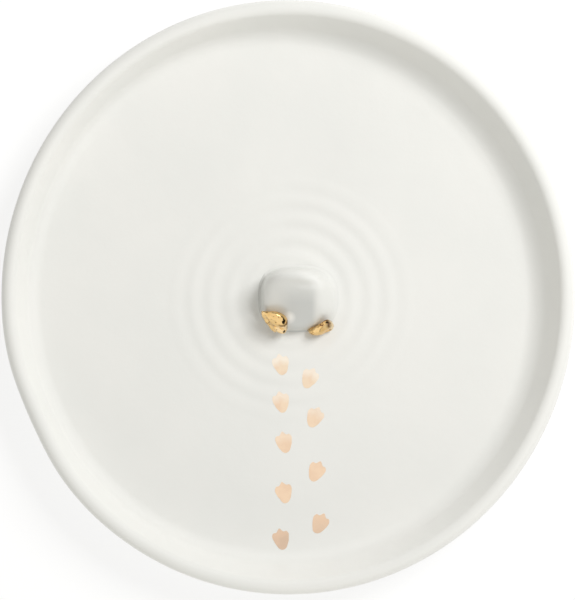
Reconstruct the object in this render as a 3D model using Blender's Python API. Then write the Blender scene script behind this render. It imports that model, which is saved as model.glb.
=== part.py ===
"""Decorative dish: a round glazed ceramic tray with ripples raised in its floor, the rump of an upended duck
standing in the ripples, two gold webbed feet on the rump, and a trail of gold webbed prints that runs up
to it from the near rim.

Metres, +Z up. The origin is under the middle of the rim, on the surface that the dish stands on. The trail
starts at the -Y side of the rim, and the duck's tail is on its +Y side.
"""

import math
from collections import namedtuple

import bmesh
import bpy
from mathutils import Matrix, Vector

# Fit between separate pieces
SEAT_GAP = 0.0003

# Dish: driving sizes
DISH_RADIUS = 0.0864
FOOT_RING_HEIGHT = 0.0015
FLOOR_THICKNESS = 0.0045
INSIDE_DEPTH = 0.0095
LIP_THICKNESS = 0.0050
COVE_RADIUS = 0.0060
HEEL_RADIUS = 0.0060
FOOT_RING_RADIUS = 0.0610
FOOT_RING_WIDTH = 0.0050
FOOT_RING_EDGE = 0.0006
INNER_WALL_SLOPE = math.radians(61)
OUTER_WALL_SLOPE = math.radians(78)

# Dish: hand-formed outline
OVAL_SHARE = 0.0178
DENT_DEPTH = 0.0010
DENT_ANGLE = math.radians(205.5)
DENT_SPREAD = math.radians(11)
RIM_LEAN = 0.0012

# Dish: ripples in the floor
RIPPLE_X = 0.0008
RIPPLE_Y = -0.0005
RIPPLE_RADIUS = 0.01285
RIPPLE_PITCH = 0.0055
RIPPLE_HEIGHT = 0.00024
RIPPLE_DECAY_SHARE = 0.92
RIPPLE_COUNT = 5

# Duck's rump
RUMP_X = 0.00275
RUMP_Y = -0.00055
RUMP_WIDTH = 0.0224
RUMP_DEPTH = 0.0188
RUMP_BELLY_HEIGHT = 0.0046
RUMP_TAIL_HEIGHT = 0.0175
RUMP_SQUARENESS = 2.7
# How sharply the skin turns over at its edges: lower powers give a tighter edge
LEFT_EDGE_POWER = 0.25
RIGHT_EDGE_POWER = 0.45
CROWN_POWER = 0.30
# How far the sides lean in between the base and the top, as shares of the radius there
LEFT_DRAFT_SHARE = 0.11
RIGHT_DRAFT_SHARE = 0.38
DRAFT_POWER = 1.5
# How the back climbs to the tail: turned to the right, lower towards its sides, and partly at a steady slope
TAIL_TURN_SHARE = 0.22
TAIL_TAPER_SHARE = 0.14
TAIL_TAPER_POWER = 2.5
TAIL_STEADY_SHARE = 0.35
CREASE_DEPTH = 0.0006
CREASE_WIDTH = 0.0012
CREASE_LENGTH = 0.0050
CREASE_X_SHARE = 0.16
CREASE_Y_SHARE = 0.46

# Webbed feet
LEG_BASE_RADIUS = 0.00150
LEG_RADIUS = 0.00130
HEEL_SWELL_RADIUS = 0.00145
LEG_LENGTH = 0.0042
BEND_RADIUS = 0.00185
WEB_ROOT_HALF = 0.0018
FOOT_LENGTH = 0.0057
FOOT_WIDTH = 0.0082
TOE_THICKNESS = 0.0020
WEB_THICKNESS = 0.0013
TOE_PLACE_SHARE = 0.80
TOE_NOTCH_SHARE = 0.05
SIDE_TOE_SHARE = 0.22
SIDE_TOE_POWER = 6
TOE_TIP_SHARE = 0.80
# Powers that shape the foot: how late its toe edge thins, and how square its sections are
TOE_TIP_POWER = 8
SECTION_POWER = 0.8
# Share of the foot's length over which the round leg flattens to the web
FLATTEN_SHARE = 0.5

# Places as shares of the rump's half width and half depth, and the leg's length as a share. Angles: the leg's
# lean sideways and towards the tail, then the foot's splay, rise and roll
FootPlace = namedtuple("FootPlace", "name side across along leg lean back splay rise roll")
FOOT_PLACES = (
    FootPlace("left_foot", -1, -0.39, -0.88, 1.1, *map(math.radians, (-1.5, 29, -8, -34, 45))),
    FootPlace("right_foot", 1, 0.42, -0.88, 0.6, *map(math.radians, (4, -28, 25, 6, 63))),
)

# Webbed prints
PRINT_LENGTH = 0.0064
PRINT_THICKNESS = 0.0004
PRINT_HEEL_RADIUS = 0.0009
PRINT_FAN = math.radians(27.5)
PRINT_SIDE_SHARE = 0.76
PRINT_NOTCH_SHARE = 0.08
# Place of the side toes, and how far the fan's corners are cut back beyond them
PRINT_TOE_SHARE = 0.88
PRINT_CORNER_SHARE = 0.08
PRINT_CORNER_POWER = 8
LEFT_TURN = math.radians(12)
RIGHT_TURN = math.radians(-24)
# Each heel's place: share of the way from the rump to the floor's edge, and share of a print's length across
LEFT_HEEL_SHARES = (
    (0.203, -0.23),
    (0.375, -0.22),
    (0.560, -0.08),
    (0.791, -0.09),
    (1.005, -0.22),
)
RIGHT_HEEL_SHARES = (
    (0.262, 0.80),
    (0.442, 1.03),
    (0.690, 1.11),
    (0.929, 1.27),
)

# Facets
DISH_SEGMENTS = 72
FLOOR_STEPS = 4
RIPPLE_STEPS = 6
COVE_STEPS = 5
LIP_STEPS = 13
RUMP_SEGMENTS = 44
RUMP_STEPS = 15
RUMP_SEAT_SHARES = (0.93, 0.82, 0.60)
FOOT_POINTS = 20
BASE_STEPS = 4
BEND_STEPS = 6
FOOT_STEPS = 8
PRINT_ROWS = 6
PRINT_COLUMNS = 8
# Rows lie closer together at the heel
PRINT_ROW_POWER = 1.4
SHARP_ANGLE = math.radians(50)
# Times that a range of angles is halved to find the skin's height at a place
HALVINGS = 40

# Values that follow from the sizes above
RIGHT_ANGLE = math.pi / 2
FLOOR_HEIGHT = FOOT_RING_HEIGHT + FLOOR_THICKNESS
RIM_HEIGHT = FLOOR_HEIGHT + INSIDE_DEPTH
LIP_RADIUS = LIP_THICKNESS / 2
LIP_CENTRE = Vector((DISH_RADIUS - LIP_RADIUS, RIM_HEIGHT - LIP_RADIUS))
RIPPLE_CENTRE = Vector((RIPPLE_X, RIPPLE_Y))
RIPPLE_END = RIPPLE_RADIUS + RIPPLE_PITCH * (RIPPLE_COUNT - 0.5)
FLOOR_CENTRE = Vector((-RIM_LEAN, 0.0))

# Finishes: linear red, green, blue, then roughness and metallic
GLAZE = ((0.84, 0.85, 0.81), 0.12, 0.0)
BRIGHT_GOLD = ((0.83, 0.55, 0.22), 0.12, 1.0)
ROSE_GOLD = ((0.88, 0.62, 0.44), 0.35, 0.6)


def clear_scene():
    for item in list(bpy.data.objects):
        bpy.data.objects.remove(item, do_unlink=True)


def make_material(name, finish):
    colour, roughness, metallic = finish
    material = bpy.data.materials.new(name)
    material.use_nodes = True
    shader = material.node_tree.nodes["Principled BSDF"]
    shader.inputs["Base Color"].default_value = (*colour, 1.0)
    shader.inputs["Roughness"].default_value = roughness
    shader.inputs["Metallic"].default_value = metallic
    return material


def add_empty(name, place, parent=None):
    empty = bpy.data.objects.new(name, None)
    bpy.context.scene.collection.objects.link(empty)
    empty.location = place
    empty.parent = parent
    return empty


def add_piece(name, points, faces, finish, parent, place=(0.0, 0.0, 0.0), turn=0.0):
    """One closed mesh, from points in the parent's frame, with its own origin at place, turned about Z."""
    seat = Matrix.Translation(place) @ Matrix.Rotation(turn, 4, "Z")
    back = seat.inverted()
    mesh = bpy.data.meshes.new(name)
    mesh.from_pydata([back @ Vector(point) for point in points], [], faces)
    shell = bmesh.new()
    shell.from_mesh(mesh)
    bmesh.ops.recalc_face_normals(shell, faces=shell.faces)
    shell.to_mesh(mesh)
    shell.free()
    mesh.shade_smooth()
    mesh.set_sharp_from_angle(angle=SHARP_ANGLE)
    mesh.materials.append(make_material(name + "_finish", finish))
    piece = bpy.data.objects.new(name, mesh)
    bpy.context.scene.collection.objects.link(piece)
    piece.parent = parent
    piece.location = place
    piece.rotation_euler = (0.0, 0.0, turn)
    return piece


def ease(share):
    """Smooth step from 0 to 1."""
    share = min(1.0, max(0.0, share))
    return share * share * (3 - 2 * share)


def ring_faces(rings, segments, first=0):
    """Quads between neighbouring rings of points, where ring k starts at first + k * segments."""
    faces = []
    for ring in range(rings - 1):
        low = first + ring * segments
        high = low + segments
        for step in range(segments):
            after = (step + 1) % segments
            faces.append((low + step, low + after, high + after, high + step))
    return faces


def fan_faces(pole, first, segments):
    return [(pole, first + (step + 1) % segments, first + step) for step in range(segments)]


def ripple_rise(x, y):
    """Height of the ripples over the flat floor, at a place in the dish's frame."""
    distance = (Vector((x, y)) - RIPPLE_CENTRE).length
    turns = (distance - RIPPLE_RADIUS) / RIPPLE_PITCH
    if turns <= -0.5 or turns >= RIPPLE_COUNT - 0.5:
        return 0.0
    crest = RIPPLE_HEIGHT * RIPPLE_DECAY_SHARE ** max(turns, 0.0)
    return crest * (1 + math.cos(2 * math.pi * turns)) / 2


def oval(angle):
    """The hand-formed outline's radius, as a share of the mean radius."""
    return 1 - OVAL_SHARE * math.cos(2 * angle)


def dent(angle):
    """How far the rim is pressed in at its dent."""
    away = (angle - DENT_ANGLE) / DENT_SPREAD
    return DENT_DEPTH * math.exp(-away * away)


def arc(centre, radius, start, end, steps):
    """Points of a round part of the dish's profile, as (radius, height)."""
    angles = [start + (end - start) * step / steps for step in range(steps + 1)]
    return [centre + radius * Vector((math.cos(a), math.sin(a))) for a in angles]


def cove_centre():
    """Centre of the cove that joins the floor to the sloping inner wall, below the lip's own arc."""
    height = FLOOR_HEIGHT + COVE_RADIUS
    rise = LIP_CENTRE.y - height
    run = math.cos(INNER_WALL_SLOPE) * rise + LIP_RADIUS + COVE_RADIUS
    return Vector((LIP_CENTRE.x - run / math.sin(INNER_WALL_SLOPE), height))


def heel_centre():
    """Centre of the rounded corner between the tapering outer wall and the underside."""
    height = FOOT_RING_HEIGHT + HEEL_RADIUS
    rise = LIP_CENTRE.y - height
    run = math.cos(OUTER_WALL_SLOPE) * rise + HEEL_RADIUS - LIP_RADIUS
    return Vector((LIP_CENTRE.x - run / math.sin(OUTER_WALL_SLOPE), height))


FLOOR_RADIUS = cove_centre().x


def floor_edge_y():
    """Where the flat floor ends at the trail's end of the dish."""
    return FLOOR_CENTRE.y - FLOOR_RADIUS * oval(-RIGHT_ANGLE)


def wall_profile():
    """Cove, inner wall, lip, outer wall and rounded heel."""
    cove = arc(cove_centre(), COVE_RADIUS, -RIGHT_ANGLE, INNER_WALL_SLOPE - RIGHT_ANGLE, COVE_STEPS)
    lip_end = OUTER_WALL_SLOPE - RIGHT_ANGLE
    lip = arc(LIP_CENTRE, LIP_RADIUS, INNER_WALL_SLOPE + RIGHT_ANGLE, lip_end, LIP_STEPS)
    heel = arc(heel_centre(), HEEL_RADIUS, lip_end, -RIGHT_ANGLE, COVE_STEPS)
    return cove + lip + heel


def foot_ring_profile():
    """The ring that the dish stands on, from its outer side to its inner side."""
    outer = FOOT_RING_RADIUS + FOOT_RING_WIDTH / 2
    inner = FOOT_RING_RADIUS - FOOT_RING_WIDTH / 2
    edge = FOOT_RING_EDGE
    return [
        Vector((outer + edge, FOOT_RING_HEIGHT)),
        Vector((outer, edge)),
        Vector((outer - edge, 0.0)),
        Vector((inner + edge, 0.0)),
        Vector((inner, edge)),
        Vector((inner - edge, FOOT_RING_HEIGHT)),
    ]


def floor_ring(radius, angle):
    """A point of the floor's top. Rings are round about the ripples, and oval about the floor's middle
    at its edge."""
    spread = ease((radius - RIPPLE_END) / (FLOOR_RADIUS - RIPPLE_END))
    centre = RIPPLE_CENTRE.lerp(FLOOR_CENTRE, spread)
    reach = radius * (1 + (oval(angle) - 1) * spread)
    x = centre.x + reach * math.cos(angle)
    y = centre.y + reach * math.sin(angle)
    return (x, y, FLOOR_HEIGHT + ripple_rise(x, y))


def shell_ring(radius, height, angle):
    """A point of the wall or the underside. The wall leans from the floor's middle to the rim's, and its
    dent grows towards the rim."""
    rise = ease((height - FLOOR_HEIGHT) / (LIP_CENTRE.y - FLOOR_HEIGHT))
    centre = FLOOR_CENTRE * (1 - rise)
    reach = radius * oval(angle) - dent(angle) * rise
    return (centre.x + reach * math.cos(angle), centre.y + reach * math.sin(angle), height)


def build_dish(parent):
    angles = [2 * math.pi * step / DISH_SEGMENTS for step in range(DISH_SEGMENTS)]
    start = RIPPLE_RADIUS - RIPPLE_PITCH / 2
    ripple_rings = RIPPLE_COUNT * RIPPLE_STEPS
    floor_radii = [start / 2]
    floor_radii += [start + RIPPLE_PITCH * step / RIPPLE_STEPS for step in range(ripple_rings + 1)]
    plain = FLOOR_RADIUS - RIPPLE_END
    floor_radii += [RIPPLE_END + plain * step / FLOOR_STEPS for step in range(1, FLOOR_STEPS)]
    points = [(RIPPLE_X, RIPPLE_Y, FLOOR_HEIGHT)]
    for radius in floor_radii:
        points += [floor_ring(radius, angle) for angle in angles]
    for radius, height in wall_profile() + foot_ring_profile():
        points += [shell_ring(radius, height, angle) for angle in angles]
    rings = (len(points) - 1) // DISH_SEGMENTS
    points.append((FLOOR_CENTRE.x, FLOOR_CENTRE.y, FOOT_RING_HEIGHT))
    faces = fan_faces(0, 1, DISH_SEGMENTS)
    faces += ring_faces(rings, DISH_SEGMENTS, first=1)
    faces += fan_faces(len(points) - 1, 1 + (rings - 1) * DISH_SEGMENTS, DISH_SEGMENTS)
    return add_piece("dish", points, faces, GLAZE, parent)


def rump_reach(angle):
    """Plan radius of the rump, a rounded square."""
    across = abs(math.cos(angle)) / (RUMP_WIDTH / 2)
    along = abs(math.sin(angle)) / (RUMP_DEPTH / 2)
    return (across**RUMP_SQUARENESS + along**RUMP_SQUARENESS) ** (-1 / RUMP_SQUARENESS)


def rump_share(polar, angle):
    """Plan radius of a point of the skin, as a share of the radius at the base. The side is tight and steep
    on the left, and turns over gently and leans in on the right."""
    right = (1 + math.cos(angle)) / 2
    power = LEFT_EDGE_POWER + (RIGHT_EDGE_POWER - LEFT_EDGE_POWER) * right
    slant = max(0.0, math.cos(angle)) ** DRAFT_POWER
    draft = LEFT_DRAFT_SHARE + (RIGHT_DRAFT_SHARE - LEFT_DRAFT_SHARE) * slant
    return (1 - draft * crown_share(polar)) * math.sin(polar) ** power


def crown_share(polar):
    """Height of a point of the skin, as a share of the crown's height."""
    return max(0.0, math.cos(polar)) ** CROWN_POWER


def rump_crown(x, y):
    """Height that the rump's top would have with no rounding at its sides: low at the belly, rising to the
    tail at the back, with a crease where the tail starts."""
    across = x / (RUMP_WIDTH / 2)
    along = (1 + y / (RUMP_DEPTH / 2)) / 2
    turned = along + TAIL_TURN_SHARE * across / 2
    climb = (1 - TAIL_STEADY_SHARE) * ease(turned) + TAIL_STEADY_SHARE * turned
    height = RUMP_BELLY_HEIGHT + (RUMP_TAIL_HEIGHT - RUMP_BELLY_HEIGHT) * climb
    height *= 1 - TAIL_TAPER_SHARE * along * abs(across - TAIL_TURN_SHARE) ** TAIL_TAPER_POWER
    crease_x = (x - CREASE_X_SHARE * RUMP_WIDTH / 2) / CREASE_LENGTH
    crease_y = (y - CREASE_Y_SHARE * RUMP_DEPTH / 2) / CREASE_WIDTH
    return height - CREASE_DEPTH * math.exp(-crease_x * crease_x - crease_y * crease_y)


def rump_rise(x, y):
    """Height of the rump's surface over the floor, at a place in the rump's frame."""
    angle = math.atan2(y, x)
    share = math.hypot(x, y) / rump_reach(angle)
    low, high = 0.0, RIGHT_ANGLE
    for _ in range(HALVINGS):
        middle = (low + high) / 2
        if rump_share(middle, angle) < share:
            low = middle
        else:
            high = middle
    return rump_crown(x, y) * crown_share(low)


def rump_point(polar, angle, margin):
    """A point of the rump's skin, in its own frame, at a margin outside it."""
    reach = rump_reach(angle) * rump_share(polar, angle)
    crown = rump_crown(reach * math.cos(angle), reach * math.sin(angle))
    reach += margin * math.sin(polar)
    x = reach * math.cos(angle)
    y = reach * math.sin(angle)
    seat = ripple_rise(RUMP_X + x, RUMP_Y + y) + SEAT_GAP - margin
    return (x, y, seat + (crown + margin - seat) * crown_share(polar))


def rump_shell(margin):
    """Points and faces of the rump's closed skin, or of a larger one at a margin outside it."""
    angles = [2 * math.pi * step / RUMP_SEGMENTS for step in range(RUMP_SEGMENTS)]
    points = [rump_point(0.0, 0.0, margin)]
    for step in range(1, RUMP_STEPS + 1):
        polar = RIGHT_ANGLE * step / RUMP_STEPS
        points += [rump_point(polar, angle, margin) for angle in angles]
    for share in RUMP_SEAT_SHARES:
        for angle in angles:
            x = share * rump_reach(angle) * math.cos(angle)
            y = share * rump_reach(angle) * math.sin(angle)
            points.append((x, y, ripple_rise(RUMP_X + x, RUMP_Y + y) + SEAT_GAP - margin))
    rings = (len(points) - 1) // RUMP_SEGMENTS
    points.append((0.0, 0.0, SEAT_GAP - margin))
    faces = fan_faces(0, 1, RUMP_SEGMENTS)
    faces += ring_faces(rings, RUMP_SEGMENTS, first=1)
    faces += fan_faces(len(points) - 1, 1 + (rings - 1) * RUMP_SEGMENTS, RUMP_SEGMENTS)
    return points, faces


def build_rump(parent):
    return add_piece("duck_rump", *rump_shell(0.0), GLAZE, parent)


def build_rump_cutter(parent):
    """The rump's skin with its clearance, which trims the legs to their seats."""
    cutter = add_piece("rump_cutter", *rump_shell(SEAT_GAP), GLAZE, parent)
    cutter.hide_render = True
    cutter.display_type = "WIRE"
    return cutter


def toe_share(across):
    """1 on the line of each of the three toes, and 0 midway between them."""
    return math.cos(math.pi * across / TOE_PLACE_SHARE) ** 2


def toe_reach(across):
    """Length of the webbed part at a place across it, as a share: the webs are drawn in between the toes."""
    notch = TOE_NOTCH_SHARE * (1 - toe_share(across))
    return (1 - notch) * (1 - SIDE_TOE_SHARE * abs(across) ** SIDE_TOE_POWER)


def foot_directions(side, splay, rise, roll):
    """Forward and sideways directions of the webbed part. Its near side is rolled down."""
    up = Vector((0.0, 0.0, 1.0))
    ahead = Vector((side * math.cos(splay), math.sin(splay), 0.0)) * math.cos(rise) + up * math.sin(rise)
    near = ahead.cross(up).normalized() * side
    lift = ahead.cross(near) * -side
    return ahead, near * math.cos(roll) - lift * math.sin(roll)


def build_foot(place, parent, cutter):
    """A leg that rises from the rump, bends at a swollen heel and opens into a webbed foot, as one loft of
    closed sections, trimmed to its seat on the rump."""
    x = place.across * RUMP_WIDTH / 2
    y = place.along * RUMP_DEPTH / 2
    seat = Vector((x, y, rump_rise(x, y)))
    leg = Vector((place.side * math.sin(place.lean), math.sin(place.back), 0.0))
    leg.z = math.sqrt(1 - leg.length_squared)
    ahead, wide = foot_directions(place.side, place.splay, place.rise, place.roll)
    bend = leg.angle(ahead)
    inward = (ahead - leg * math.cos(bend)).normalized()
    arm = BEND_RADIUS * math.tan(bend / 2)
    before = seat + leg * (LEG_LENGTH * place.leg - arm)
    after = before + (leg + ahead) * arm

    # Each station: centre, forward direction, half width, half thickness with no ridges, share of the web
    stations = []
    for step in range(1, BASE_STEPS + 1):
        polar = RIGHT_ANGLE * (step / BASE_STEPS - 1)
        girth = LEG_BASE_RADIUS * math.cos(polar)
        stations.append((seat + leg * LEG_BASE_RADIUS * math.sin(polar), leg, girth, girth, 0.0))
    for step in range(BEND_STEPS):
        t = step / BEND_STEPS
        round_way, straight_way = 1 - math.cos(bend * t), math.sin(bend * t)
        middle = before + (inward * round_way + leg * straight_way) * BEND_RADIUS
        forward = leg * math.cos(bend * t) + inward * straight_way
        swell = LEG_RADIUS + (HEEL_SWELL_RADIUS - LEG_RADIUS) * math.sin(math.pi * t)
        half = swell + (WEB_ROOT_HALF - LEG_RADIUS) * ease(t)
        stations.append((middle, forward, half, swell, 0.0))
    for step in range(FOOT_STEPS + 1):
        u = step / FOOT_STEPS
        half = WEB_ROOT_HALF + (FOOT_WIDTH / 2 - WEB_ROOT_HALF) * u
        stations.append((after, ahead, half, LEG_RADIUS, u))

    points = []
    toe_length = FOOT_LENGTH - arm
    for middle, forward, half, plain, u in stations:
        spread = ahead.rotation_difference(forward) @ wide
        normal = forward.cross(spread)
        for step in range(FOOT_POINTS):
            turn = 2 * math.pi * step / FOOT_POINTS
            across = math.cos(turn)
            ridged = WEB_THICKNESS + (TOE_THICKNESS - WEB_THICKNESS) * toe_share(across)
            thick = plain + (ridged / 2 - plain) * ease(u / FLATTEN_SHARE)
            thick *= 1 - (1 - TOE_TIP_SHARE) * u**TOE_TIP_POWER
            lift = math.copysign(abs(math.sin(turn)) ** SECTION_POWER, math.sin(turn))
            reach = toe_length * u * (1 + (toe_reach(across) - 1) * u)
            points.append(middle + forward * reach + spread * half * across + normal * thick * lift)
    faces = ring_faces(len(stations), FOOT_POINTS)
    faces.append(tuple(range(FOOT_POINTS)))
    last = (len(stations) - 1) * FOOT_POINTS
    for step in range(FOOT_POINTS // 2):
        near, far = last + step, last + step + 1
        near_below = last + (FOOT_POINTS - step) % FOOT_POINTS
        far_below = last + FOOT_POINTS - step - 1
        corners = [near, far, far_below, near_below]
        faces.append(tuple(dict.fromkeys(corners)))
    foot = add_piece(place.name, points, faces, BRIGHT_GOLD, parent, place=seat)
    trim = foot.modifiers.new("seat_on_rump", "BOOLEAN")
    trim.operation = "DIFFERENCE"
    trim.solver = "EXACT"
    trim.object = cutter
    return foot


def print_edge(across):
    """Distance from heel to toe edge at a place across the fan, -1 to 1: blunt toes with shallow webs."""
    side = 1 - (1 - PRINT_SIDE_SHARE) * across * across
    web = PRINT_NOTCH_SHARE * math.sin(math.pi * across / PRINT_TOE_SHARE) ** 2
    corner = PRINT_CORNER_SHARE * abs(across) ** PRINT_CORNER_POWER
    return PRINT_LENGTH * side * (1 - web) * (1 - corner)


def print_half_width(length):
    """Half width of the print at a distance from its heel: a round heel that opens as a fan."""
    share = length / PRINT_LENGTH
    heel = 2 * PRINT_HEEL_RADIUS * length * (1 - share) ** 3
    toe_half = PRINT_LENGTH * PRINT_SIDE_SHARE * math.tan(PRINT_FAN)
    fan = toe_half * math.sin(share * RIGHT_ANGLE)
    return math.sqrt(heel + fan * fan)


def build_print(name, heel_shares, turn, parent):
    """A thin webbed print that follows the floor and its ripples."""
    along, across_share = heel_shares
    rump_front = RUMP_Y - RUMP_DEPTH / 2
    heel = Vector((across_share * PRINT_LENGTH, rump_front + (floor_edge_y() - rump_front) * along))
    spin = Matrix.Rotation(turn, 2)

    def place(row, column):
        across = 2 * column / PRINT_COLUMNS - 1
        share = (row / PRINT_ROWS) ** PRINT_ROW_POWER
        half = print_half_width(PRINT_LENGTH * share)
        return heel + spin @ Vector((half * across, print_edge(across) * share))

    spots = [heel]
    for row in range(1, PRINT_ROWS + 1):
        spots += [place(row, column) for column in range(PRINT_COLUMNS + 1)]
    low = [(s.x, s.y, FLOOR_HEIGHT + ripple_rise(s.x, s.y) + SEAT_GAP) for s in spots]
    points = low + [(x, y, z + PRINT_THICKNESS) for x, y, z in low]

    count = len(spots)
    width = PRINT_COLUMNS + 1
    sheet = [(0, 1 + column + 1, 1 + column) for column in range(PRINT_COLUMNS)]
    for row in range(PRINT_ROWS - 1):
        for column in range(PRINT_COLUMNS):
            a = 1 + row * width + column
            sheet.append((a, a + 1, a + 1 + width, a + width))
    first_side = [1 + row * width for row in range(PRINT_ROWS)]
    toe_side = [first_side[-1] + column for column in range(1, width)]
    last_side = [first_side[row] + PRINT_COLUMNS for row in range(PRINT_ROWS - 2, -1, -1)]
    border = [0] + first_side + toe_side + last_side
    faces = list(sheet) + [tuple(count + corner for corner in face) for face in sheet]
    for here, there in zip(border, border[1:] + border[:1]):
        faces.append((here, there, there + count, here + count))
    place_at = (heel.x, heel.y, FLOOR_HEIGHT)
    return add_piece(name, points, faces, ROSE_GOLD, parent, place=place_at, turn=turn)


def main():
    clear_scene()
    body = add_empty("dish_assembly", (0.0, 0.0, 0.0))
    build_dish(body)
    figure = add_empty("duck_figure", (RUMP_X, RUMP_Y, FLOOR_HEIGHT), parent=body)
    build_rump(figure)
    cutter = build_rump_cutter(figure)
    for foot_place in FOOT_PLACES:
        build_foot(foot_place, figure, cutter)
    trail = add_empty("print_trail", (0.0, 0.0, 0.0), parent=body)
    for number, shares in enumerate(LEFT_HEEL_SHARES, 1):
        build_print(f"left_print_{number}", shares, LEFT_TURN, trail)
    for number, shares in enumerate(RIGHT_HEEL_SHARES, 1):
        build_print(f"right_print_{number}", shares, RIGHT_TURN, trail)


main()
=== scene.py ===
import math

import bmesh
import bpy
from mathutils import Matrix, Vector, noise


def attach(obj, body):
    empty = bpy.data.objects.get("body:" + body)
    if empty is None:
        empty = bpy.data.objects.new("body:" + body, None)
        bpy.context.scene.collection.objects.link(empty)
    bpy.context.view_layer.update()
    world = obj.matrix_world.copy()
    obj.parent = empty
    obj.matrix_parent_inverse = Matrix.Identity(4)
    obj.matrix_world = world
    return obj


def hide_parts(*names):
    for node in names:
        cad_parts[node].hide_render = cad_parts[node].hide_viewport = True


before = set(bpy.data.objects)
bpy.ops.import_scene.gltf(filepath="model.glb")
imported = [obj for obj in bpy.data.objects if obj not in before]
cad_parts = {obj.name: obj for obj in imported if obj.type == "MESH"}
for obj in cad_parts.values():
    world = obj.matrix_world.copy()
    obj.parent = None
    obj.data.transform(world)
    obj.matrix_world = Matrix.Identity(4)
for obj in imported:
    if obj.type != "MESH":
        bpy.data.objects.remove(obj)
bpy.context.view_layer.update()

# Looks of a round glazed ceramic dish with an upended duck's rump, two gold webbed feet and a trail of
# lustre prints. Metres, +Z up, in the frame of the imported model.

# Sizes of the dish, as in the model
DISH_RADIUS = 0.0864
FOOT_RING_HEIGHT = 0.0015
FLOOR_THICKNESS = 0.0045
INSIDE_DEPTH = 0.0095
LIP_THICKNESS = 0.0050
COVE_RADIUS = 0.0060
HEEL_RADIUS = 0.0060
FOOT_RING_RADIUS = 0.0610
FOOT_RING_WIDTH = 0.0050
FOOT_RING_EDGE = 0.0006
INNER_WALL_SLOPE = math.radians(61)
OUTER_WALL_SLOPE = math.radians(78)
OVAL_SHARE = 0.0178
DENT_DEPTH = 0.0010
DENT_ANGLE = math.radians(205.5)
DENT_SPREAD = math.radians(11)
RIM_LEAN = 0.0012
# The finer rim lies this far inside the model's
RIM_INSET = 0.00002

# Ripples in the floor
RIPPLE_X = 0.0008
RIPPLE_Y = -0.0005
RIPPLE_RADIUS = 0.01285
RIPPLE_PITCH = 0.0055
RIPPLE_COUNT = 5
RIPPLE_HEIGHT = 0.00021
# Each ripple is a little lower than the one inside it, and the last one is lower still
RIPPLE_DECAY_SHARE = 0.92
RIPPLE_LAST_SHARE = 0.5

# Duck's rump
RUMP_X = 0.00275
RUMP_Y = -0.00055
RUMP_WIDTH = 0.0224
RUMP_DEPTH = 0.0188
RUMP_BELLY_HEIGHT = 0.0046
RUMP_TAIL_HEIGHT = 0.0171
RUMP_SQUARENESS = 2.7
LEFT_EDGE_POWER = 0.20
RIGHT_EDGE_POWER = 0.45
LEFT_DRAFT_SHARE = 0.08
RIGHT_DRAFT_SHARE = 0.38
DRAFT_POWER = 1.5
CROWN_POWER = 0.30
# How the back climbs to the tail: turned to the right, lower towards its sides, partly at a steady slope
TAIL_TURN_SHARE = 0.22
TAIL_TAPER_SHARE = 0.14
TAIL_TAPER_POWER = 2.5
TAIL_STEADY_SHARE = 0.35
# Round joint with the floor. It is wider about the far angle, and a larger reach takes in more of the turn
RUMP_FILLET = 0.0005
RUMP_FAR_FILLET = 0.0012
RUMP_FAR_ANGLE = math.radians(65)
RUMP_FAR_REACH = 0.5
# How far the base is sunk into the floor
RUMP_SUNK = 0.0003
# Crease where the tail starts, with its place in the rump's half sizes
CREASE_DEPTH = 0.0006
CREASE_WIDTH = 0.0012
CREASE_LENGTH = 0.0050
CREASE_X_SHARE = 0.16
CREASE_Y_SHARE = 0.46

# Painted shade on the figure's near slope, greyer glaze, from the rump's middle: where it starts and is
# fullest towards the trail, where it starts at the left, where it ends at the right, and how fast it fades
SLOPE_SHADE_TOP = 0.0050
SLOPE_SHADE_FOOT = -0.0010
SLOPE_SHADE_LEFT = 0.0068
SLOPE_SHADE_RIGHT = 0.0042
SLOPE_SHADE_FADE = 0.0016
# Painted shade on the left flank, grey: where it starts and is fullest, left of the rump's middle
FLANK_IN = 0.0095
FLANK_OUT = 0.0101
# Painted highlight in the painted shade beside the left foot, white: its middle, and where it starts to fade
# and has faded
WHITE_HIGHLIGHT_PLACE = (0.0003, -0.0060, 0.0)
WHITE_HIGHLIGHT_IN = 0.0006
WHITE_HIGHLIGHT_OUT = 0.0021

# Webbed feet
LEG_BASE_RADIUS = 0.00150
LEG_RADIUS = 0.00130
BEND_RADIUS = 0.00185
TOE_THICKNESS = 0.0018
WEB_THICKNESS = 0.0014
# Place of the side toes across the web, depth of the notches between toes, and how suddenly the web's length
# falls off at the side toes
TOE_PLACE_SHARE = 0.80
TOE_NOTCH_SHARE = 0.02
SIDE_TOE_POWER = 3
# Share of the thickness left at the tips, share of the width cut there, and how suddenly each comes
TOE_TIP_SHARE = 0.80
TOE_TIP_POWER = 8
CORNER_CUT_SHARE = 0.35
CORNER_POWER = 8
# How round a section is, and the share of the web where the leg's roundness ends
FOOT_ROUND_POWER = 0.8
FLATTEN_SHARE = 0.5
# Where each leg stands, as shares of the rump's half width and depth, its length and its heel's radius.
# Pairs are for the foot's near and far sides: half widths of the web at the root and at the tips, and how
# far the side toes fall short. Turns are in degrees: how the leg leans out and back, and how the foot
# splays, rises and rolls
FEET = {
    "left_foot": dict(
        side=-1, seat=(-0.39, -0.88), leg_length=0.0050, heel=0.0017, foot_length=0.0062,
        roots=(0.0018, 0.0033), tips=(0.0061, 0.0045), short=(0.02, 0.10),
        lean=-1.5, back=29, splay=-7, rise=-36, roll=42,
    ),
    "right_foot": dict(
        side=1, seat=(0.40, -0.95), leg_length=0.0025, heel=0.0012, foot_length=0.0066,
        roots=(0.0022, 0.0020), tips=(0.0040, 0.0044), short=(0.40, 0.20),
        lean=4, back=-28, splay=27, rise=6, roll=63,
    ),
}
# Pad under the left web, from the leg to the near toe: its middle from the leg's seat, half sizes and turn
PAD_PLACE = Vector((-0.00110, -0.00005, 0.0003))
PAD_SIZES = (0.0025, 0.00150, 0.0011)
PAD_TURN = math.radians(-38)
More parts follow.
